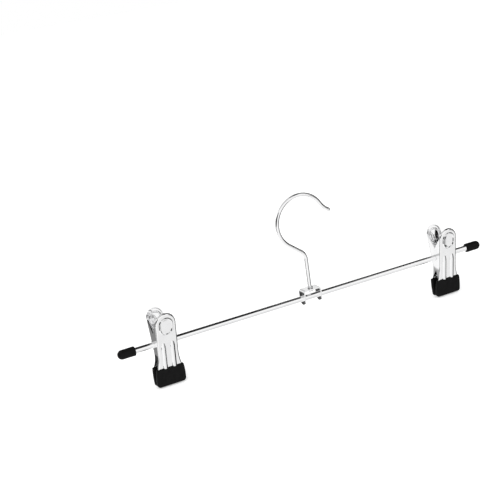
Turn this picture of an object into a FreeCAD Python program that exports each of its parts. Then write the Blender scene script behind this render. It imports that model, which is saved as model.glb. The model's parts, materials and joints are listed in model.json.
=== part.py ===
"""Skirt hanger: a straight chrome bar under a swivel hook, with two spring clips that slide on the bar.

Lengths are millimetres. X runs along the bar, Z is up and the front of the hanger faces -Y.
The pieces are drawn about the middle of the bar, and each is lifted once as it is written, so that
the origin lies at the inside top of the hook, where the hanger rests on a rail.
"""
import FreeCAD, Part
import math
import os
from FreeCAD import Vector

# Whole hanger
overall_length = 305.0
clip_inset = 34.5

# Bar
bar_diameter = 4.2
bar_end_chamfer = 0.4

# End caps
cap_diameter = 6.7
cap_length = 12.6
cap_bore_depth = 9.4
cap_mouth_round = 0.5
cap_fit = 0.02

# Saddle, a strip bent into an upside-down U
saddle_length = 14.5
saddle_width = 7.5
saddle_sheet = 1.0
saddle_height = 6.5
saddle_drop = 4.6
saddle_bend = 1.8
saddle_fit = 0.02

# Hook, one bent wire
hook_wire = 2.7
neck_radius = 7.9
neck_run = 11.2
loop_radius = 19.4
loop_height = 57.0
loop_end_angle = 30.0
flare_radius = 17.8
flare_turn = 30.0
collar_diameter = 4.3
collar_height = 1.0
rivet_diameter = 4.8
rivet_height = 1.4
swivel_clearance = 0.08
swivel_end_play = 0.1

# Clip plates, stamped sheet
plate_sheet = 0.8
plate_tilt = 9.4
handle_length = 23.3
jaw_length = 30.1
clip_width = 15.2
nest_clearance = 0.25
bend_radius = 1.2
flange_depth = 1.8
flare_start = 7.0
foot_start = 17.5
foot_width = 18.4
foot_end_width = 19.2
jaw_gap = 0.3

# Ears of the plates, pierced by the bar
ear_radius = 3.9
ear_top = 15.8
ear_foot = 16.5
ear_clearance = 0.08

# Oval thumb grip on each handle: a shallow bowl inside a ring pressed out of the sheet
grip_width = 10.6
grip_length = 13.4
grip_height = 13.9
bowl_depth = 0.35
bowl_middle_share = 0.75
ring_width = 1.4
ring_height = 0.8
ring_wall_angle = 57.0

# Two stiffening ribs pressed into each jaw
rib_spacing = 6.8
rib_width = 3.4
rib_height = 0.95
rib_top = 2.0
rib_rise_radius = 10.0

# Vinyl sleeves on the jaws
sleeve_height = 13.5
sleeve_top_width = 20.0
sleeve_foot_width = 21.6
sleeve_side_bow = 0.4
sleeve_wall = 1.2
sleeve_foot = 1.2
sleeve_corner = 2.2
sleeve_edge_round = 0.9

# Torsion spring round the bar inside each clip
spring_wire = 1.2
spring_bar_gap = 0.45
spring_pitch = 1.75
spring_full_turns = 3
spring_leg_gap = 0.1
spring_leg_height = 6.6

# How far a cutting or trimming tool reaches past the piece it works on
overrun = 5.0

# Values that follow from the driving dimensions
bar_radius = bar_diameter / 2
hook_radius = hook_wire / 2
tilt = math.radians(plate_tilt)
seat_height = loop_height + loop_radius - hook_radius
jaw_reach = jaw_length + sleeve_foot
edge_setback = sleeve_edge_round * (math.cos(tilt) + math.sin(tilt) - 1)
sleeve_inset = (plate_sheet + sleeve_wall) * math.cos(tilt) + jaw_reach * math.sin(tilt)
stand_off = sleeve_inset - edge_setback + jaw_gap / 2
bar_depth = stand_off * math.cos(tilt)
bar_level = -stand_off * math.sin(tilt)
front_half_width = clip_width / 2
rear_half_width = front_half_width - plate_sheet - nest_clearance
X_AXIS = Vector(1, 0, 0)
Y_AXIS = Vector(0, 1, 0)
Z_AXIS = Vector(0, 0, 1)


def save(name, solid, along=0.0):
    """Write one piece, moved along the bar and up to the hook's frame."""
    placed = solid.copy()
    placed.translate(Vector(along, 0, -seat_height))
    placed.exportStep("parts/" + name + ".step")


def polar(centre, radius, angle):
    """A point of a circle in the XZ plane, with the angle in radians from +X."""
    return centre + Vector(radius * math.cos(angle), 0, radius * math.sin(angle))


def line(start, end):
    return Part.LineSegment(start, end).toShape()


def arc(start, middle, end):
    return Part.Arc(start, middle, end).toShape()


def turned_arc(centre, radius, begin, end):
    """Ends and edge of an arc in the XZ plane from one angle to another."""
    ends = (polar(centre, radius, begin), polar(centre, radius, end))
    return ends, arc(ends[0], polar(centre, radius, (begin + end) / 2), ends[1])


def revolved(edges, axis):
    """A solid turned from a closed chain of edges about an axis through the bar's middle."""
    face = Part.Face(Part.Wire(edges))
    return face.revolve(Vector(), axis, 360)


def hole_along_x(radius, length, y=0.0, z=0.0):
    return Part.makeCylinder(radius, length, Vector(-length / 2, y, z), X_AXIS)


def make_bar():
    length = overall_length - 2 * (cap_length - cap_bore_depth)
    bar = hole_along_x(bar_radius, length)
    ends = [edge for edge in bar.Edges if abs(edge.CenterOfMass.x) > length / 2 - bar_end_chamfer]
    return bar.makeChamfer(bar_end_chamfer, ends)


def make_cap():
    """Bullet-shaped cap for the +X end, with its mouth towards the middle of the bar."""
    outer = cap_diameter / 2
    bore = bar_radius + cap_fit
    tip = Vector(overall_length / 2, 0, 0)
    mouth = tip.x - cap_length
    floor = mouth + cap_bore_depth
    nose_centre = Vector(tip.x - outer, 0, 0)
    lip_centre = Vector(mouth + cap_mouth_round, 0, outer - cap_mouth_round)
    lip, lip_edge = turned_arc(lip_centre, cap_mouth_round, math.pi, math.pi / 2)
    nose, nose_edge = turned_arc(nose_centre, outer, math.pi / 2, 0)
    profile = [
        line(tip, Vector(floor, 0, 0)),
        line(Vector(floor, 0, 0), Vector(floor, 0, bore)),
        line(Vector(floor, 0, bore), Vector(mouth, 0, bore)),
        line(Vector(mouth, 0, bore), lip[0]),
        lip_edge,
        line(lip[1], nose[0]),
        nose_edge,
    ]
    return revolved(profile, X_AXIS)


def bent_block(length, height, bend):
    """Block over the bar whose two top edges are rounded: the outside or the inside of the bent strip."""
    corner = Vector(-length / 2, -saddle_width / 2, -saddle_drop)
    block = Part.makeBox(length, saddle_width, height + saddle_drop, corner)
    tops = [edge for edge in block.Edges if edge.BoundBox.ZMin > 0 and edge.BoundBox.XLength < bend]
    return block.makeFillet(bend, tops)


def make_saddle():
    """Strip bent over the bar, with round-ended legs and holes for the bar and the hook's stem."""
    inside_length = saddle_length - 2 * saddle_sheet
    inside_height = saddle_height - saddle_sheet
    strip = bent_block(saddle_length, saddle_height, saddle_bend)
    strip = strip.cut(bent_block(inside_length, inside_height, saddle_bend - saddle_sheet))

    side = saddle_width / 2
    start = -saddle_length / 2 - overrun
    upper = saddle_height + overrun
    round_start = side - saddle_drop
    near = Vector(start, -side, round_start)
    far = Vector(start, side, round_start)
    leg_face = Part.Face(Part.Wire([
        line(near, Vector(start, -side, upper)),
        line(Vector(start, -side, upper), Vector(start, side, upper)),
        line(Vector(start, side, upper), far),
        arc(far, Vector(start, 0, -saddle_drop), near),
    ]))
    tool_length = saddle_length + 2 * overrun
    strip = strip.common(leg_face.extrude(X_AXIS * tool_length))
    stem_hole = Part.makeCylinder(hook_radius + swivel_clearance, upper)
    bar_hole = hole_along_x(bar_radius + saddle_fit, tool_length)
    return strip.cut(stem_hole.fuse(bar_hole)).Solids[0]


def rod(start, end):
    return Part.makeCylinder(hook_radius, (end - start).Length, start, end - start)


def bent_rod(centre, radius, begin, end):
    """Rod bent along an arc in the XZ plane, from one angle to another."""
    start = polar(centre, radius, begin)
    along = Vector(-math.sin(begin), 0, math.cos(begin))
    disc = Part.Face(Part.Wire(Part.makeCircle(hook_radius, start, along)))
    return disc.revolve(centre, -Y_AXIS, math.degrees(end - begin))


def make_hook():
    """Straight stem, neck bend, tangent run, loop and a tip that flares out for the rail."""
    stem_end = saddle_height - saddle_sheet - swivel_end_play - rivet_height
    stem_foot = Vector(0, 0, stem_end)
    loop = Vector(0, 0, loop_height)
    both_radii = neck_radius + loop_radius
    neck_drop = math.sqrt(both_radii ** 2 + neck_run ** 2 - neck_radius ** 2)
    neck = loop - Vector(neck_radius, 0, neck_drop)
    neck_end = math.atan2(neck_drop, neck_radius) - math.atan2(neck_run, both_radii)
    loop_start = neck_end + math.pi
    loop_end = math.radians(loop_end_angle)
    flare = polar(loop, loop_radius + flare_radius, loop_end)
    flare_begin = loop_end + math.pi
    flare_end = flare_begin + math.radians(flare_turn)
    pieces = [
        rod(stem_foot, polar(neck, neck_radius, 0)),
        bent_rod(neck, neck_radius, 0, neck_end),
        rod(polar(neck, neck_radius, neck_end), polar(loop, loop_radius, loop_start)),
        bent_rod(loop, loop_radius, loop_start, loop_end),
        bent_rod(flare, flare_radius, flare_begin, flare_end),
        Part.makeSphere(hook_radius, polar(flare, flare_radius, flare_end)),
    ]
    collar_foot = Vector(0, 0, saddle_height + swivel_end_play)
    collar = Part.makeCylinder(collar_diameter / 2, collar_height, collar_foot)
    rivet = Part.makeCylinder(rivet_diameter / 2, rivet_height, stem_foot)
    lower_rim = [edge for edge in rivet.Edges if edge.BoundBox.ZMax < stem_end + rivet_height / 2]
    rims = [edge for edge in collar.Edges if edge.BoundBox.ZLength < swivel_clearance]
    pieces.append(collar.makeChamfer(collar_height / 3, rims))
    pieces.append(rivet.makeChamfer(rivet_height / 2, lower_rim))
    return pieces[0].fuse(pieces[1:]).removeSplitter().Solids[0]


def plate_outline(half_width):
    """Flat shape of a jaw plate: round head, straight sides, flared foot. It runs on past the jaw's end."""
    head_centre = handle_length - half_width
    foot = foot_width / 2
    end = foot_end_width / 2
    spread = foot - half_width
    fall = foot_start - flare_start
    curve = (fall ** 2 + spread ** 2) / (2 * spread)
    half_turn = math.asin(fall / curve) / 2
    below = -jaw_length - overrun
    bow_out = curve * (1 - math.cos(half_turn))
    bow_down = curve * math.sin(half_turn)
    bow = Vector(half_width + bow_out, 0, -flare_start - bow_down)

    def other_side(point):
        return Vector(-point.x, point.y, point.z)

    shoulder = Vector(half_width, 0, head_centre)
    waist = Vector(half_width, 0, -flare_start)
    mouth = Vector(foot, 0, -foot_start)
    heel = Vector(end, 0, -jaw_length)
    toe = Vector(end, 0, below)
    right = [line(shoulder, waist), arc(waist, bow, mouth), line(mouth, heel), line(heel, toe)]
    left = [
        line(other_side(toe), other_side(heel)),
        line(other_side(heel), other_side(mouth)),
        arc(other_side(mouth), other_side(bow), other_side(waist)),
        line(other_side(waist), other_side(shoulder)),
    ]
    bottom = [line(toe, other_side(toe))]
    head = [arc(other_side(shoulder), Vector(0, 0, handle_length), shoulder)]
    return Part.Face(Part.Wire(right + bottom + left + head))


def pan(face, start, depth, rim_round):
    """A block on an outline whose outer rim is rounded, as a press leaves it."""
    block = face.extrude(Y_AXIS * depth)
    rim = [edge for edge in block.Edges if edge.BoundBox.YMax < depth / 2]
    block = block.makeFillet(rim_round, rim)
    block.translate(Y_AXIS * start)
    return block


def tangent_point(point, centre, radius, side):
    """Where a line from a point in the YZ plane touches a circle; side is 1 or -1."""
    away = point - centre
    turn = math.atan2(away.z, away.y) + side * math.acos(radius / away.Length)
    return centre + Vector(0, radius * math.cos(turn), radius * math.sin(turn))


def ear_side_view():
    """Side view of a plate: flange round the handle, ear round the bar, bare sheet on the jaw."""
    x = -foot_end_width
    bar = Vector(x, bar_depth, bar_level)
    top = handle_length + overrun
    upper = Vector(x, flange_depth, ear_top)
    lower = Vector(x, plate_sheet, -ear_foot)
    upper_touch = tangent_point(upper, bar, ear_radius, -1)
    lower_touch = tangent_point(lower, bar, ear_radius, 1)
    far = bar + Vector(0, ear_radius, 0)
    outline = Part.Wire([
        line(Vector(x, -overrun, top), Vector(x, flange_depth, top)),
        line(Vector(x, flange_depth, top), upper),
        line(upper, upper_touch),
        arc(upper_touch, far, lower_touch),
        line(lower_touch, lower),
        line(lower, Vector(x, plate_sheet, -jaw_length)),
        line(Vector(x, plate_sheet, -jaw_length), Vector(x, -overrun, -jaw_length)),
        line(Vector(x, -overrun, -jaw_length), Vector(x, -overrun, top)),
    ])
    return Part.Face(outline).extrude(X_AXIS * foot_end_width * 2)


def grip_section():
    """Half section of the thumb grip, from its middle out to the ring's foot, as thick as the sheet."""
    outer = grip_width / 2
    inner = outer - ring_width
    middle = outer - ring_width / 2
    lean = math.radians(ring_wall_angle)
    crest_radius = (ring_width / 2 - ring_height / math.tan(lean)) / math.tan(lean / 2)
    crest_half = crest_radius * math.sin(lean)
    shoulder = -ring_height + crest_radius * (1 - math.cos(lean))
    bowl = Vector(0, bowl_depth, 0)
    foot = Vector(outer, 0, 0)
    front = [
        arc(bowl, Vector(inner / 2, bowl_depth * bowl_middle_share, 0), Vector(inner, 0, 0)),
        line(Vector(inner, 0, 0), Vector(middle - crest_half, shoulder, 0)),
        arc(Vector(middle - crest_half, shoulder, 0), Vector(middle, -ring_height, 0),
            Vector(middle + crest_half, shoulder, 0)),
        line(Vector(middle + crest_half, shoulder, 0), foot),
    ]
    thick = Y_AXIS * plate_sheet
    back = [edge.translated(thick) for edge in reversed(front)]
    return Part.Face(Part.Wire(front + [line(foot, foot + thick)] + back + [line(bowl + thick, bowl)]))


def grip_hole_section():
    """Half section of the opening that the thumb grip fills."""
    corners = [Vector(x, y, 0) for x, y in ((0, -overrun), (grip_width / 2, -overrun),
                                            (grip_width / 2, overrun), (0, overrun))]
    return Part.Face(Part.makePolygon(corners + corners[:1]))


def oval(section):
    """Oval solid from a half section: turned at its upper and lower end and straight in between."""
    straight = grip_length - grip_width
    lower = Vector(0, 0, grip_height - straight / 2)
    rise = Z_AXIS * straight
    lower_end = section.revolve(Vector(), Y_AXIS, 180)
    upper_end = section.revolve(Vector(), -Y_AXIS, 180).translated(rise)
    sides = [half.extrude(rise) for half in (section, section.mirror(Vector(), X_AXIS))]
    return lower_end.fuse(sides + [upper_end]).translated(lower)


def rib_solid(shrink):
    """Two rods that rise out of the sheet along an arc and run down to past the jaw's end."""
    arch = ((rib_width / 2) ** 2 + rib_height ** 2) / (2 * rib_height)
    sunk = arch - rib_height
    rise = math.acos((rib_rise_radius + sunk) / (rib_rise_radius + arch))
    run = (rib_rise_radius + arch) * math.sin(rise)
    ribs = []
    for side in (-1, 1):
        start = Vector(side * rib_spacing / 2, sunk, rib_top - run)
        disc = Part.Face(Part.Wire(Part.makeCircle(arch - shrink, start, Z_AXIS)))
        risen = disc.revolve(start + Y_AXIS * rib_rise_radius, -X_AXIS, 2 * math.degrees(rise))
        ribs += [risen, disc.extrude(-Z_AXIS * (jaw_length + overrun))]
    return ribs[0].fuse(ribs[1:])


def make_plate(half_width):
    """One stamped plate in its own flat, with its outer face on Y = 0 and its hollow side towards +Y."""
    depth = bar_depth + ear_radius + overrun
    outline = plate_outline(half_width)
    inner = outline.makeOffset2D(-plate_sheet)
    tray = pan(outline, 0.0, depth, bend_radius)
    tray = tray.cut(pan(inner, plate_sheet, depth, bend_radius - plate_sheet))

    # The thumb grip and the ribs keep the sheet's thickness
    front_space = Part.makeBox(foot_end_width * 2, overrun * 2, jaw_length * 4,
                               Vector(-foot_end_width, -overrun * 2, -jaw_length * 2))
    tray = tray.cut(oval(grip_hole_section())).fuse(oval(grip_section()))
    ridges = rib_solid(0.0)
    tray = tray.fuse(ridges.common(front_space)).cut(rib_solid(plate_sheet))

    tray = tray.common(ear_side_view())
    hole = hole_along_x(bar_radius + ear_clearance, clip_width * 2, bar_depth, bar_level)
    return tray.cut(hole).removeSplitter().Solids[0]


def make_sleeve(plate):
    """Dipped vinyl boot on a jaw's end, with the plate's end cut out of it."""
    top = -jaw_reach + sleeve_height
    upper = sleeve_top_width / 2
    lower = sleeve_foot_width / 2
    middle = (upper + lower) / 2 + sleeve_side_bow
    level = top - sleeve_height / 2
    front = Part.Face(Part.Wire([
        line(Vector(-upper, 0, top), Vector(upper, 0, top)),
        arc(Vector(upper, 0, top), Vector(middle, 0, level), Vector(lower, 0, -jaw_reach)),
        line(Vector(lower, 0, -jaw_reach), Vector(-lower, 0, -jaw_reach)),
        arc(Vector(-lower, 0, -jaw_reach), Vector(-middle, 0, level), Vector(-upper, 0, top)),
    ]))
    thickness = plate_sheet + 2 * sleeve_wall
    boot = front.extrude(Y_AXIS * thickness)
    boot.translate(Y_AXIS * -sleeve_wall)
    across = [edge for edge in boot.Edges if edge.BoundBox.YLength > thickness / 2]
    boot = boot.makeFillet(sleeve_corner, [edge for edge in across if edge.BoundBox.ZMax < level])
    around = [edge for edge in boot.Edges if edge.BoundBox.YLength < thickness / 2]
    below_mouth = [edge for edge in around if edge.BoundBox.ZMin < top - sleeve_wall]
    boot = boot.makeFillet(sleeve_edge_round, below_mouth)
    return boot.cut(plate)


def stand_up(solid, turned):
    """Lean a piece drawn in a plate's flat to its place at the front of the bar, or turned to the rear."""
    placed = solid.copy()
    placed.rotate(Vector(), X_AXIS, plate_tilt)
    placed.translate(Vector(0, -stand_off, 0))
    if turned:
        placed.rotate(Vector(), Z_AXIS, 180)
    return placed


def biarc(start, start_way, end, end_way):
    """Two arcs that leave a point along one direction and reach another along the next."""
    chord = end - start
    ways = start_way + end_way
    spread = 2 * (1 - start_way.dot(end_way))
    lean = chord.dot(ways)
    handle = (math.sqrt(lean ** 2 + spread * chord.dot(chord)) - lean) / spread
    first = start + start_way * handle
    last = end - end_way * handle
    joint = (first + last) / 2

    def rounded(a, corner, b):
        middle = (a + b) / 2
        half_chord = (b - a).Length / 2
        angle = math.acos(half_chord / handle)
        return arc(a, middle + (corner - middle) * (math.tan(angle / 2) / math.tan(angle)), b)

    return [rounded(start, first, joint), rounded(joint, last, end)]


def make_spring():
    """Torsion spring: a leg from the front handle, turns round the bar, a leg to the rear handle."""
    radius = bar_radius + spring_bar_gap + spring_wire / 2
    rise = spring_pitch / (2 * math.pi)
    leg_reach = bar_depth - plate_sheet - spring_leg_gap - spring_wire / 2
    leg_level = spring_leg_height - bar_level
    leg_span = math.hypot(leg_reach, leg_level)
    leg_length = math.sqrt(leg_span ** 2 - radius ** 2)

    # The leg touches the coil this far below the level of the bar, and the plate's lean adds to it
    below = math.acos(radius / leg_span) - math.atan2(leg_level, leg_reach) - tilt
    start = math.pi + below
    end = 2 * math.pi * (spring_full_turns + 1) - below
    half_length = rise * (end - start) / 2

    def point(angle):
        along = rise * (angle - start) - half_length
        return Vector(along, radius * math.cos(angle), radius * math.sin(angle))

    def way(angle):
        return Vector(rise, -radius * math.sin(angle), radius * math.cos(angle)).normalize()

    steps = math.ceil((end - start) / (math.pi / 2))
    angles = [start + (end - start) * step / steps for step in range(steps + 1)]
    tip = point(start) - way(start) * leg_length
    edges = [line(tip, point(start))]
    for a, b in zip(angles, angles[1:]):
        edges += biarc(point(a), way(a), point(b), way(b))
    edges.append(line(point(end), point(end) + way(end) * leg_length))
    path = Part.Wire(edges)
    section = Part.Wire(Part.makeCircle(spring_wire / 2, tip, way(start)))
    print("spring: least gap between turns", round(least_gap(path), 3), "mm")
    return path.makePipeShell([section], True, False)


def least_gap(path):
    """Least clear distance of a wire to itself, measured on points at least half a turn apart."""
    spacing = spring_wire / 2
    points = path.discretize(Distance=spacing)
    apart = math.ceil(math.pi * (bar_radius + spring_bar_gap) / spacing)
    nearest = min((a - b).Length for i, a in enumerate(points) for b in points[i + apart:])
    return nearest - spring_wire


os.makedirs("parts", exist_ok=True)
save("bar", make_bar())
right_cap = make_cap()
left_cap = right_cap.copy()
left_cap.rotate(Vector(), Z_AXIS, 180)
save("right_end_cap", right_cap)
save("left_end_cap", left_cap)
save("saddle", make_saddle())
save("hook", make_hook())

clip_pieces = {"spring": make_spring()}
for jaw, half_width in (("front", front_half_width), ("rear", rear_half_width)):
    plate = make_plate(half_width)
    turned = jaw == "rear"
    clip_pieces[jaw + "_plate"] = stand_up(plate, turned)
    clip_pieces[jaw + "_sleeve"] = stand_up(make_sleeve(plate), turned)
clip_place = overall_length / 2 - clip_inset
for side, along in (("left", -clip_place), ("right", clip_place)):
    for piece, solid in clip_pieces.items():
        save(side + "_" + piece, solid, along)
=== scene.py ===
"""Looks of the skirt hanger: chrome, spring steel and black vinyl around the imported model.

Lengths are metres in the model's own frame: X runs along the bar, Z is up and the front clip plates face -Y.
"""
import json
import math
from collections import namedtuple

import bmesh
import bpy
from mathutils import Matrix, Quaternion, Vector

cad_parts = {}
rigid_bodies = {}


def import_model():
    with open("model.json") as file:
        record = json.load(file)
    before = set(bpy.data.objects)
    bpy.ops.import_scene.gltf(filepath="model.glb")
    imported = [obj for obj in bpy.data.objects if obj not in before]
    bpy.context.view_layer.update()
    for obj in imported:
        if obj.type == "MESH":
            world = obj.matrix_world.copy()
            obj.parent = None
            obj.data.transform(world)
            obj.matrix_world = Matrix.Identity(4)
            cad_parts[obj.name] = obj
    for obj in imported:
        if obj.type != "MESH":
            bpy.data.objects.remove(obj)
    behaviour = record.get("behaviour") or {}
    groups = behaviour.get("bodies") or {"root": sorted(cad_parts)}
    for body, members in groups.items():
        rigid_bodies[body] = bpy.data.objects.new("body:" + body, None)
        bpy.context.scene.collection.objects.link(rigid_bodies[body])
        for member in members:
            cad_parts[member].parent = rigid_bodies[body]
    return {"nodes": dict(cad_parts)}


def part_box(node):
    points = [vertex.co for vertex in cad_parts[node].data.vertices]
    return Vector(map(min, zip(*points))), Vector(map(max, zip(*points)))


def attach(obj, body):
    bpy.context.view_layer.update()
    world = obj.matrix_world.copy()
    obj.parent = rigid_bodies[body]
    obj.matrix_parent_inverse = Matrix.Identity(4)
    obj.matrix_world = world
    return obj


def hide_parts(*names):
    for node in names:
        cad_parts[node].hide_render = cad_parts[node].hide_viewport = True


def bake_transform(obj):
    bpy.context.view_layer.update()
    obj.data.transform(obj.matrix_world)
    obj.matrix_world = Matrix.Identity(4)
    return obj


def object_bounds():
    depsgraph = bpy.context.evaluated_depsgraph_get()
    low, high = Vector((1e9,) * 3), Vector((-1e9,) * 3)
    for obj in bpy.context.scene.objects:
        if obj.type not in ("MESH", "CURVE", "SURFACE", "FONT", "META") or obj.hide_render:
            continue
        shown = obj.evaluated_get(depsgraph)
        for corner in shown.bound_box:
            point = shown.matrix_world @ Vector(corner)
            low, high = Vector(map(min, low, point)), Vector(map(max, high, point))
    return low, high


MM = 0.001
SIDES = ("left", "right")
JAWS = ("front", "rear")

# Camera, fitted to the photograph: angles in degrees, target measured from the middle of the bar
camera_azimuth = -25.07
camera_elevation = 16.49
camera_roll = -8.37
camera_distance = 840.72 * MM
camera_target = Vector((-43.08, 0.0, 46.77)) * MM
camera_near = 10.0 * MM
focal_pixels = 1196.73
image_pixels = 500
sensor_width = 36.0

# Floor and light
white = (1.0, 1.0, 1.0, 1.0)
floor_gap = 0.8 * MM
floor_size = 6.0
floor_tone = 0.88
floor_lift = 0.3
room_light = 0.8
Softbox = namedtuple("Softbox", "azimuth elevation distance size power")
softboxes = {
    "key_softbox": Softbox(azimuth=-55, elevation=38, distance=1.6, size=1.0, power=12.0),
    "fill_softbox": Softbox(azimuth=50, elevation=25, distance=1.8, size=1.0, power=6.0),
}

# What the chrome mirrors: a white room with dark oval cards in it. A card has the place of its middle,
# round from +X and up from level, its half width, half height and roll, all in degrees, and its tone,
# where 1 is white
Card = namedtuple("Card", "around above half_width half_height roll tone")
card_softness = 0.15
cards = {
    "ceiling": Card(90, 76.5, 53.5, 53.5, 0, 0.6),
    "ceiling_strip": Card(14.3, 63.6, 48, 12, -15.9, 0.1),
    "ceiling_fringe": Card(19.2, 69.6, 48, 20, -20.4, 0.45),
    "right": Card(8, 5, 50, 56, 0, 0.01),
    "right_ahead": Card(-35, -5, 20, 20, 0, 0.01),
    "right_low": Card(-15, -35, 16, 9, 0, 0.01),
    "right_behind": Card(62, -8, 10, 10, 0, 0.02),
    "stand": Card(115.5, -9, 6, 13, 0, 0.05),
    "stand_left": Card(107.5, -22, 5.5, 9, 0, 0.25),
    "back_left": Card(160, -3, 45, 18, 0, 0.4),
    "left_above": Card(200, 10, 32, 22, 0, 0.02),
    "left": Card(181, -24, 15, 6, 0, 0.1),
    "floor_ahead": Card(-58, -35, 30, 30, 0, 0.87),
    "floor_below": Card(-45, -66, 17, 17, 0, 0.74),
}

# Windows in the dark cards, given as the cards are
windows = {
    "window_ahead": Card(-27, 32, 6, 27, 0, 1.0),
    "window_behind": Card(43, -8, 7, 9, 0, 1.0),
    "window_right": Card(17, -8, 17, 11, 0, 0.5),
    "window_right_ahead": Card(-40, -12, 18, 8, 0, 0.3),
    "window_right_low": Card(32, -20, 10, 7, 0, 0.35),
}

# Clip plates and the vinyl sleeves on them
plate_tilt = math.radians(9.4)
plate_sheet = 0.8 * MM
plate_end_width = 18.4 * MM
rib_spacing = 6.8 * MM
rib_width = 3.4 * MM
rib_height = 0.95 * MM
sleeve_wall = 1.2 * MM
sleeve_length = 13.5 * MM
sleeve_mouth_width = 20.0 * MM
sleeve_foot_width = 21.6 * MM
sleeve_side_bow = 0.4 * MM
sleeve_corner = 2.2 * MM
sleeve_edge_round = 0.9 * MM
sleeve_lip_round = 0.35 * MM
sleeve_rib_swell = 0.22 * MM
sleeve_pocket = 2.0 * MM
sleeve_pocket_round = 0.2 * MM
sleeve_face_steps = 44
sleeve_edge_steps = 8
sleeve_lip_steps = 4
sleeve_body_steps = 8
sleeve_foot_steps = 12

# End caps; the swell of the mouth fades out along a share of the body
cap_bore_depth = 9.4 * MM
cap_mouth_round = 0.5 * MM
cap_mouth_swell = 0.05 * MM
cap_swell_share = 0.4
cap_body_shares = (0.1, 0.2, 0.4, 0.7, 1.0)
cap_mouth_steps = 8
cap_nose_steps = 16
cap_sides = 48

# Torsion springs
spring_wire = 1.2 * MM
spring_radius = 3.15 * MM
spring_pitch = 1.75 * MM
spring_turns = 3.4632
spring_leg_below = math.radians(6.62)
spring_leg_length = 8.98 * MM
spring_end_break = 0.15 * MM
spring_end_share = 0.8
spring_leg_steps = 4
spring_coil_steps = 110
spring_wire_sides = 20

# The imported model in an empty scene
for thing in list(bpy.data.objects):
    bpy.data.objects.remove(thing)
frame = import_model()
cad_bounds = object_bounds()
nodes = frame["nodes"]
scene = bpy.context.scene
bar_low, bar_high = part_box("bar")
bar_middle = (bar_low + bar_high) / 2
bar_radius = (bar_high.z - bar_low.z) / 2


# Meshes

def new_piece(name, mesh_maker, material):
    """An object made by a bmesh function, with smooth faces and one material."""
    mesh = bpy.data.meshes.new(name)
    maker = bmesh.new()
    mesh_maker(maker)
    bmesh.ops.recalc_face_normals(maker, faces=maker.faces)
    maker.to_mesh(mesh)
    maker.free()
    for polygon in mesh.polygons:
        polygon.use_smooth = True
    mesh.materials.append(material)
    piece = bpy.data.objects.new(name, mesh)
    scene.collection.objects.link(piece)
    return piece


def bridge_rings(maker, rings):
    """Quads between rings of vertices that have the same count."""
    for ring, following in zip(rings, rings[1:]):
        count = len(ring)
        for i in range(count):
            j = (i + 1) % count
            maker.faces.new((ring[i], ring[j], following[j], following[i]))


def add_tube(maker, points, radius, end_share, sides):
    """A round wire along points, whose broken ends have a share of its radius."""
    last = len(points) - 1
    ways = []
    for i in range(len(points)):
        ahead = points[min(i + 1, last)]
        behind = points[max(i - 1, 0)]
        ways.append((ahead - behind).normalized())
    across = ways[0].orthogonal().normalized()
    rings = []
    for i, (point, way) in enumerate(zip(points, ways)):
        across = (across - way * across.dot(way)).normalized()
        other = way.cross(across)
        reach = radius * end_share if i in (0, last) else radius
        ring = []
        for side in range(sides):
            angle = 2 * math.pi * side / sides
            outward = across * math.cos(angle) + other * math.sin(angle)
            ring.append(maker.verts.new(point + outward * reach))
        rings.append(ring)
    bridge_rings(maker, rings)
    maker.faces.new(rings[0])
    maker.faces.new(rings[-1])


def spring_points(middle):
    """Centre line of a torsion spring: front leg, turns round the bar, rear leg."""
    rise = spring_pitch / (2 * math.pi)
    turn = 2 * math.pi * spring_turns
    start = math.pi + spring_leg_below
    end = start + turn
    half_length = rise * turn / 2

    def on_coil(angle):
        along = rise * (angle - start) - half_length
        return middle + Vector((along, spring_radius * math.cos(angle), spring_radius * math.sin(angle)))

    def way(angle):
        return Vector((rise, -spring_radius * math.sin(angle), spring_radius * math.cos(angle))).normalized()

    first = on_coil(start) - way(start) * spring_leg_length
    last = on_coil(end) + way(end) * spring_leg_length
    leg_shares = [step / spring_leg_steps for step in range(1, spring_leg_steps)]
    points = [first, first + way(start) * spring_end_break]
    points += [first.lerp(on_coil(start), share) for share in leg_shares]
    points += [on_coil(start + turn * step / spring_coil_steps) for step in range(spring_coil_steps + 1)]
    points += [on_coil(end).lerp(last, share) for share in leg_shares]
    points += [last - way(end) * spring_end_break, last]
    return points


def make_spring(side, material):
    """Torsion spring round the bar, which twists as the jaw opens; this piece is built fixed and does not
    twist.
    """
    low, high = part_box(side + "_spring")
    middle = Vector(((low.x + high.x) / 2, bar_middle.y, bar_middle.z))
    points = spring_points(middle)

    def build(maker):
        add_tube(maker, points, spring_wire / 2, spring_end_share, spring_wire_sides)

    spring = new_piece(side + "_coil", build, material)
    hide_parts(side + "_spring")
    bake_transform(spring)


def add_lathe(maker, profile, sides):
    """A closed shape turned about X; its profile holds places along the axis and radii, from axis to axis."""
    rings = []
    for along, radius in profile[1:-1]:
        ring = []
        for side in range(sides):
            angle = 2 * math.pi * side / sides
            ring.append(maker.verts.new((along, radius * math.cos(angle), radius * math.sin(angle))))
        rings.append(ring)
    bridge_rings(maker, rings)
    for end, ring in ((profile[0], rings[0]), (profile[-1], rings[-1])):
        tip = maker.verts.new((end[0], 0, 0))
        for i in range(sides):
            maker.faces.new((ring[i], ring[(i + 1) % sides], tip))


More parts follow.
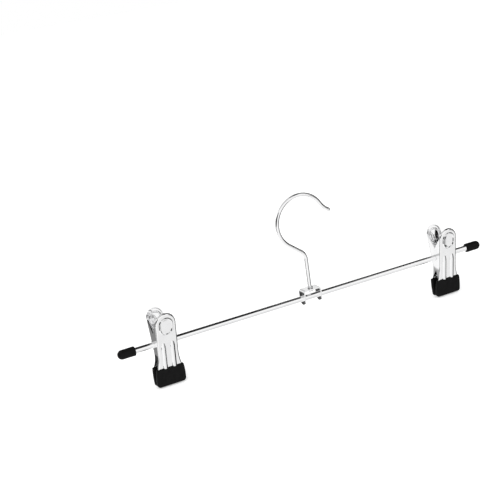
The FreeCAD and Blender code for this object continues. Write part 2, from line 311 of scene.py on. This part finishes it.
def cap_profile(length, outer):
    """Half outline of an end cap, with its mouth at 0 and its nose towards +X: bore, lip, body, nose."""
    profile = [(cap_bore_depth, 0.0), (cap_bore_depth, bar_radius), (cap_mouth_round / 2, bar_radius)]
    lip = outer + cap_mouth_swell - cap_mouth_round
    for step in range(cap_mouth_steps + 1):
        angle = math.pi / 2 * step / cap_mouth_steps
        profile.append((cap_mouth_round * (1 - math.cos(angle)), lip + cap_mouth_round * math.sin(angle)))
    body = length - outer - cap_mouth_round
    for share in cap_body_shares:
        swell = cap_mouth_swell * max(0.0, 1 - share / cap_swell_share)
        profile.append((cap_mouth_round + body * share, outer + swell))
    for step in range(1, cap_nose_steps):
        angle = math.pi / 2 * step / cap_nose_steps
        profile.append((length - outer + outer * math.sin(angle), outer * math.cos(angle)))
    profile.append((length, 0.0))
    return profile


def make_cap(side, material):
    """Blind vinyl cap, turned about the bar's axis with its mouth towards the clips."""
    low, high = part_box(side + "_end_cap")
    profile = cap_profile(high.x - low.x, (high.z - low.z) / 2)

    def build(maker):
        add_lathe(maker, profile, cap_sides)

    cap = new_piece(side + "_bar_cap", build, material)
    mouth, turn = (low.x, 0.0) if side == "right" else (high.x, math.pi)
    place = Matrix.Translation((mouth, bar_middle.y, bar_middle.z))
    cap.data.transform(place @ Matrix.Rotation(turn, 4, "Z"))
    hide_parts(side + "_end_cap")
    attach(cap, "frame")


def rib_share(across):
    """How far the plate's ribs stand out at a place across it, from 0 on the flat to 1 on a crest."""
    from_rib = abs(abs(across) - rib_spacing / 2)
    return max(0.0, 1 - (2 * from_rib / rib_width) ** 2)


def sleeve_ring(half_width, front, rear, corner, swell):
    """One level of a sleeve, seen from above: X across, Y from the outer face to the inner one."""
    corner = min(corner, (rear - front) / 2, half_width)
    inner_half = half_width - corner
    places = [inner_half * (2 * i / sleeve_face_steps - 1) for i in range(sleeve_face_steps + 1)]

    def edge(side, centre, begin):
        points = []
        for step in range(1, sleeve_edge_steps):
            angle = math.radians(begin + 90 * step / sleeve_edge_steps)
            points.append((side * inner_half + corner * math.cos(angle), centre + corner * math.sin(angle)))
        return points

    ring = [(across, front - swell * rib_share(across)) for across in places]
    ring += edge(1, front + corner, -90) + edge(1, rear - corner, 0)
    ring += [(across, rear) for across in reversed(places)]
    ring += edge(-1, rear - corner, 90) + edge(-1, front + corner, 180)
    return ring


def sleeve_levels():
    """Drops below the mouth and the rings there, from inside the pocket over the lip to the foot."""
    front = -sleeve_wall
    rear = plate_sheet + sleeve_wall
    body_end = sleeve_length - sleeve_corner
    levels = []

    def half_width(drop):
        share = drop / sleeve_length
        width = sleeve_mouth_width + (sleeve_foot_width - sleeve_mouth_width) * share
        return width / 2 + sleeve_side_bow * (1 - (2 * share - 1) ** 2)

    def add_level(drop, narrow, thin, swell):
        ring = sleeve_ring(half_width(drop) - narrow, front + thin, rear - thin, sleeve_edge_round, swell)
        levels.append((drop, ring))

    def swell_at(drop):
        return sleeve_rib_swell * (1 - drop / sleeve_length)

    pocket_ring = sleeve_ring(plate_end_width / 2, 0.0, plate_sheet, sleeve_pocket_round, rib_height)
    for drop in (sleeve_pocket, sleeve_pocket / 2, sleeve_lip_round):
        levels.append((drop, pocket_ring))
    for step in range(sleeve_lip_steps + 1):
        angle = math.pi / 2 * step / sleeve_lip_steps
        inset = sleeve_lip_round * (1 - math.sin(angle))
        add_level(sleeve_lip_round * (1 - math.cos(angle)), inset, inset, sleeve_rib_swell)
    for step in range(1, sleeve_body_steps + 1):
        drop = sleeve_lip_round + (body_end - sleeve_lip_round) * step / sleeve_body_steps
        add_level(drop, 0.0, 0.0, swell_at(drop))
    for step in range(1, sleeve_foot_steps + 1):
        angle = math.pi / 2 * step / sleeve_foot_steps
        drop = body_end + sleeve_corner * math.sin(angle)
        into_edge = max(0.0, drop - (sleeve_length - sleeve_edge_round))
        thin = sleeve_edge_round - math.sqrt(max(0.0, sleeve_edge_round ** 2 - into_edge ** 2))
        add_level(drop, sleeve_corner * (1 - math.cos(angle)), thin, swell_at(drop))
    return levels


def make_sleeve(side, jaw, material):
    """Dipped vinyl boot, drawn from its mouth down and leant like the plate that it is on."""
    node = "%s_%s_sleeve" % (side, jaw)
    low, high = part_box(node)
    levels = sleeve_levels()

    def build(maker):
        rings = [[maker.verts.new((x, y, -drop)) for x, y in ring] for drop, ring in levels]
        bridge_rings(maker, rings)
        maker.faces.new(rings[0])
        maker.faces.new(rings[-1])

    sleeve = new_piece("%s_%s_boot" % (side, jaw), build, material)
    lean = Matrix.Rotation(plate_tilt, 4, "X")
    front_edge = lean @ Vector((0, -sleeve_wall, 0))
    rear_edge = lean @ Vector((0, plate_sheet + sleeve_wall, 0))
    outer_y = low.y if jaw == "front" else -high.y
    mouth = Vector(((low.x + high.x) / 2, outer_y - front_edge.y, high.z - rear_edge.z))
    turned = Matrix.Identity(4)
    if jaw == "rear":
        turned = Matrix.Rotation(math.pi, 4, "Z")
        mouth.x = -mouth.x
    sleeve.data.transform(turned @ Matrix.Translation(mouth) @ lean)
    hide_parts(node)
    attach(sleeve, "%s_%s_jaw" % (side, jaw))


# Materials

# The range in which most of a noise lies, and its detail where a material names none
noise_range = (0.3, 0.7)
plain_detail = 2.0


class Tree:
    """Shorthand for a node tree: makes a node, then sets or links its inputs."""

    def __init__(self, owner):
        owner.use_nodes = True
        self.tree = owner.node_tree
        self.tree.nodes.clear()

    def add(self, kind, inputs=None, **settings):
        node = self.tree.nodes.new("ShaderNode" + kind)
        for name, value in settings.items():
            setattr(node, name, value)
        for key, value in (inputs or {}).items():
            if isinstance(value, bpy.types.NodeSocket):
                self.tree.links.new(value, node.inputs[key])
            else:
                node.inputs[key].default_value = value
        return node

    def place(self):
        return self.add("TexCoord").outputs["Object"]

    def noise(self, place, scale, detail=plain_detail):
        return self.add("TexNoise", {"Vector": place, "Scale": scale, "Detail": detail}).outputs["Fac"]

    def streaks(self, place, scale, detail, turn=(0.0, 0.0, 0.0)):
        """Noise with a scale of its own along each axis, which draws it out into lines."""
        drawn = self.add("Mapping", {"Vector": place, "Rotation": turn, "Scale": scale})
        return self.noise(drawn.outputs["Vector"], 1.0, detail)

    def remap(self, value, from_low, from_high, to_low, to_high):
        inputs = {"Value": value, "From Min": from_low, "From Max": from_high}
        inputs.update({"To Min": to_low, "To Max": to_high})
        return self.add("MapRange", inputs, interpolation_type="SMOOTHSTEP").outputs["Result"]

    def ramp(self, value, stops):
        node = self.add("ValToRGB", {"Fac": value})
        for element, (position, colour) in zip(node.color_ramp.elements, stops):
            element.position = position
            element.color = colour
        return node.outputs["Color"]

    def math(self, operation, first, second):
        return self.add("Math", {0: first, 1: second}, operation=operation).outputs["Value"]

    def blend(self, first, first_share, second, second_share):
        """Sum of two values, each times its share."""
        first_part = self.math("MULTIPLY", first, first_share)
        return self.math("ADD", first_part, self.math("MULTIPLY", second, second_share))

    def bump(self, height, strength, distance):
        node = self.add("Bump", {"Height": height, "Strength": strength, "Distance": distance})
        return node.outputs["Normal"]

    def surface(self, colour, roughness, normal, constants):
        inputs = {"Base Color": colour, "Roughness": roughness, "Normal": normal, **constants}
        self.finish("Material", self.add("BsdfPrincipled", inputs).outputs["BSDF"])

    def finish(self, kind, shader):
        self.add("Output" + kind, {"Surface": shader})


def grey(level, blue=0.0):
    """A grey that may lean a little to blue."""
    return (level, level, level + blue, 1.0)


def chrome(name, line_scale, wave_relief, painted_underside_share=1.0):
    """Bright chrome plate: faint drawn or rolled lines, slow waves of the polish and hairline scratches.

    The painted underside share darkens the base colour of faces that point down: a painted shade under the
    part.
    """
    tones = (grey(0.92, 0.005), grey(0.965, 0.003))
    cloud_scale = 160.0
    wave_scale = 420.0
    wave_detail = 1.0
    line_detail = 3.0
    line_roughness = (0.03, 0.075)
    line_relief = 0.35
    scratch_scale = (260, 9000, 9000)
    scratch_turn = (0.4, 0.9, 0.3)
    scratch_detail = 0.0
    scratch_range = (0.74, 0.8)
    scratch_roughness = 0.12
    painted_underside_range = (-0.7, -0.4)
    bump_strength = 0.12
    bump_depth = 0.004 * MM

    material = bpy.data.materials.new(name)
    tree = Tree(material)
    place = tree.place()
    lines = tree.streaks(place, line_scale, line_detail)
    cloud = tree.noise(place, cloud_scale)
    wave = tree.noise(place, wave_scale, wave_detail)
    scratched = tree.streaks(place, scratch_scale, scratch_detail, scratch_turn)
    scratches = tree.remap(scratched, *scratch_range, 0.0, 1.0)
    colour = tree.ramp(cloud, zip(noise_range, tones))
    # Painted shade: faces that point down get a darker base colour
    if painted_underside_share < 1.0:
        normal = tree.add("NewGeometry").outputs["Normal"]
        upward = tree.add("SeparateXYZ", {"Vector": normal}).outputs["Z"]
        painted_underside_shade = tree.remap(upward, *painted_underside_range, painted_underside_share, 1.0)
        colour = tree.add("VectorMath", {0: colour, "Scale": painted_underside_shade}, operation="SCALE").outputs["Vector"]
    brushed = tree.remap(lines, *noise_range, *line_roughness)
    roughness = tree.math("ADD", brushed, tree.math("MULTIPLY", scratches, scratch_roughness))
    relief = tree.blend(lines, line_relief, wave, wave_relief)
    tree.surface(colour, roughness, tree.bump(relief, bump_strength, bump_depth), {"Metallic": 1.0})
    return material


def spring_steel():
    """Zinc-plated wire: greyer and duller than the chrome, with drawing marks."""
    tones = (grey(0.5, 0.01), grey(0.66, 0.012))
    cloud_scale = 900.0
    grain_scale = 5200.0
    grain_detail = 4.0
    grain_roughness = (0.2, 0.34)
    bump_strength = 0.2
    bump_depth = 0.01 * MM

    material = bpy.data.materials.new("spring_steel_wire")
    tree = Tree(material)
    place = tree.place()
    grain = tree.noise(place, grain_scale, grain_detail)
    colour = tree.ramp(tree.noise(place, cloud_scale), zip(noise_range, tones))
    roughness = tree.remap(grain, *noise_range, *grain_roughness)
    tree.surface(colour, roughness, tree.bump(grain, bump_strength, bump_depth), {"Metallic": 1.0})
    return material


def vinyl():
    """Dipped black vinyl: soft low sheen, a fine pebble, slow thickness waves and faint paler scuffs."""
    tones = (grey(0.003), grey(0.007))
    tone_range = (0.15, 0.6)
    pebble_scale = 5200.0
    pebble_detail = 3.0
    pebble_roughness = (0.42, 0.54)
    wave_scale = 380.0
    wave_tone = 0.6
    wave_relief = 3.0
    scuff_scale = (350, 2600, 5200)
    scuff_turn = (0.2, 0.5, 0.1)
    scuff_range = (0.62, 0.78)
    scuff_tone = 0.4
    scuff_roughness = 0.12
    bump_strength = 0.25
    bump_depth = 0.03 * MM
    sheen = 0.1

    material = bpy.data.materials.new("black_vinyl_dip")
    tree = Tree(material)
    place = tree.place()
    pebble = tree.noise(place, pebble_scale, pebble_detail)
    wave = tree.noise(place, wave_scale)
    scuffs = tree.remap(tree.streaks(place, scuff_scale, plain_detail, scuff_turn), *scuff_range, 0.0, 1.0)
    colour = tree.ramp(tree.blend(wave, wave_tone, scuffs, scuff_tone), zip(tone_range, tones))
    pebbled = tree.remap(pebble, *noise_range, *pebble_roughness)
    roughness = tree.math("ADD", pebbled, tree.math("MULTIPLY", scuffs, scuff_roughness))
    relief = tree.blend(pebble, 1.0, wave, wave_relief)
    normal = tree.bump(relief, bump_strength, bump_depth)
    tree.surface(colour, roughness, normal, {"Specular IOR Level": sheen})
    return material


# Stage, light and camera

def direction(azimuth, elevation):
    """Unit vector towards a viewer at an azimuth and elevation in degrees; azimuth 0 is the front."""
    turn = math.radians(azimuth)
    rise = math.radians(elevation)
    return Vector((math.sin(turn) * math.cos(rise), -math.cos(turn) * math.cos(rise), math.sin(rise)))


def make_floor():
    """White paper just under the part, lifted a little for the camera so that only the shadow shows."""
    mesh = bpy.data.meshes.new("floor")
    maker = bmesh.new()
    bmesh.ops.create_grid(maker, x_segments=1, y_segments=1, size=floor_size / 2)
    maker.to_mesh(mesh)
    maker.free()
    floor = bpy.data.objects.new("floor", mesh)
    floor.location.z = cad_bounds[0][2] - floor_gap
    floor.visible_glossy = False
    scene.collection.objects.link(floor)
    material = bpy.data.materials.new("floor_paper")
    tree = Tree(material)
    camera_ray = tree.add("LightPath").outputs["Is Camera Ray"]
    diffuse = tree.add("BsdfDiffuse", {"Color": grey(floor_tone)})
    lift = tree.add("Emission", {"Strength": tree.math("MULTIPLY", camera_ray, floor_lift)})
    lit = tree.add("AddShader", {0: diffuse.outputs["BSDF"], 1: lift.outputs["Emission"]})
    tree.finish("Material", lit.outputs["Shader"])
    mesh.materials.append(material)


def card_cover(tree, way, card):
    """1 on an oval card and 0 away from it, with a soft edge."""
    turned = (math.radians(card.roll), -math.radians(card.above), math.radians(card.around))
    size = (1.0, math.sin(math.radians(card.half_width)), math.sin(math.radians(card.half_height)))
    mapping = tree.add("Mapping", {"Vector": way, "Rotation": turned, "Scale": size}, vector_type="TEXTURE")
    local = mapping.outputs["Vector"]
    spread = tree.add("VectorMath", {0: local, 1: (0.0, 1.0, 1.0)}, operation="MULTIPLY").outputs["Vector"]
    from_middle = tree.add("VectorMath", {0: spread}, operation="LENGTH").outputs["Value"]
    inside = tree.remap(from_middle, 1 - card_softness, 1 + card_softness, 1.0, 0.0)
    ahead = tree.math("GREATER_THAN", tree.add("SeparateXYZ", {"Vector": local}).outputs["X"], 0.0)
    return tree.math("MULTIPLY", inside, ahead)


def make_world():
    """White to the camera, even soft light, and for mirror rays a white room with dark cards and windows."""
    world = bpy.data.worlds.new("studio")
    scene.world = world
    tree = Tree(world)
    way = tree.add("TexCoord").outputs["Generated"]
    room = 1.0
    for card in cards.values():
        shade = tree.remap(card_cover(tree, way, card), 0.0, 1.0, 1.0, card.tone)
        room = tree.math("MULTIPLY", room, shade)
    for window in windows.values():
        glow = tree.remap(card_cover(tree, way, window), 0.0, 1.0, 0.0, window.tone)
        room = tree.math("MAXIMUM", room, glow)
    ray = tree.add("LightPath").outputs
    mirror_ray = tree.math("MAXIMUM", ray["Is Glossy Ray"], ray["Is Transmission Ray"])
    seen = tree.add("Background", {"Color": white, "Strength": 1.0}).outputs["Background"]
    soft = tree.add("Background", {"Color": white, "Strength": room_light}).outputs["Background"]
    mirrored = tree.add("Background", {"Color": room, "Strength": 1.0}).outputs["Background"]
    lit = tree.add("MixShader", {0: mirror_ray, 1: soft, 2: mirrored}).outputs["Shader"]
    shader = tree.add("MixShader", {0: ray["Is Camera Ray"], 1: lit, 2: seen}).outputs["Shader"]
    tree.finish("World", shader)


def add_softbox(name, softbox):
    """A square lamp that faces the middle of the bar and isn't mirrored."""
    light = bpy.data.lights.new(name, "AREA")
    light.shape = "SQUARE"
    light.size = softbox.size
    light.energy = softbox.power
    lamp = bpy.data.objects.new(name, light)
    away = direction(softbox.azimuth, softbox.elevation)
    lamp.location = bar_middle + away * softbox.distance
    lamp.rotation_euler = away.to_track_quat("Z", "Y").to_euler()
    lamp.visible_glossy = False
    scene.collection.objects.link(lamp)


def make_camera():
    """The photograph's own viewpoint."""
    data = bpy.data.cameras.new("camera")
    data.sensor_fit = "HORIZONTAL"
    data.sensor_width = sensor_width
    data.lens = focal_pixels / image_pixels * sensor_width
    data.clip_start = camera_near
    camera = bpy.data.objects.new("camera", data)
    back = direction(camera_azimuth, camera_elevation)
    camera.location = bar_middle + camera_target + back * camera_distance
    rolled = back.to_track_quat("Z", "Y") @ Quaternion((0, 0, 1), math.radians(camera_roll))
    camera.rotation_euler = rolled.to_euler()
    scene.collection.objects.link(camera)
    scene.camera = camera


# The dressed part

chrome_bar = chrome("chrome_drawn_bar", line_scale=(30, 7000, 7000), wave_relief=2.0)
chrome_hook = chrome("chrome_bent_wire", line_scale=(2600, 2600, 2600), wave_relief=2.0)
chrome_sheet = chrome("chrome_stamped_sheet", line_scale=(5200, 5200, 240), wave_relief=0.5)
# The bent strip's chrome has a painted shade on its faces that point down
chrome_strip = chrome("chrome_bent_strip", line_scale=(240, 5200, 5200), wave_relief=40.0,
                      painted_underside_share=0.1)
finishes = {"bar": chrome_bar, "hook": chrome_hook, "saddle": chrome_strip}
for side in SIDES:
    for jaw in JAWS:
        finishes["%s_%s_plate" % (side, jaw)] = chrome_sheet
for name, finish in finishes.items():
    for material_slot in nodes[name].material_slots:
        material_slot.material = finish
steel = spring_steel()
black = vinyl()
for side in SIDES:
    make_spring(side, steel)
    make_cap(side, black)
    for jaw in JAWS:
        make_sleeve(side, jaw, black)

make_floor()
make_world()
for name, softbox in softboxes.items():
    add_softbox(name, softbox)
make_camera()
scene.view_settings.view_transform = "Standard"
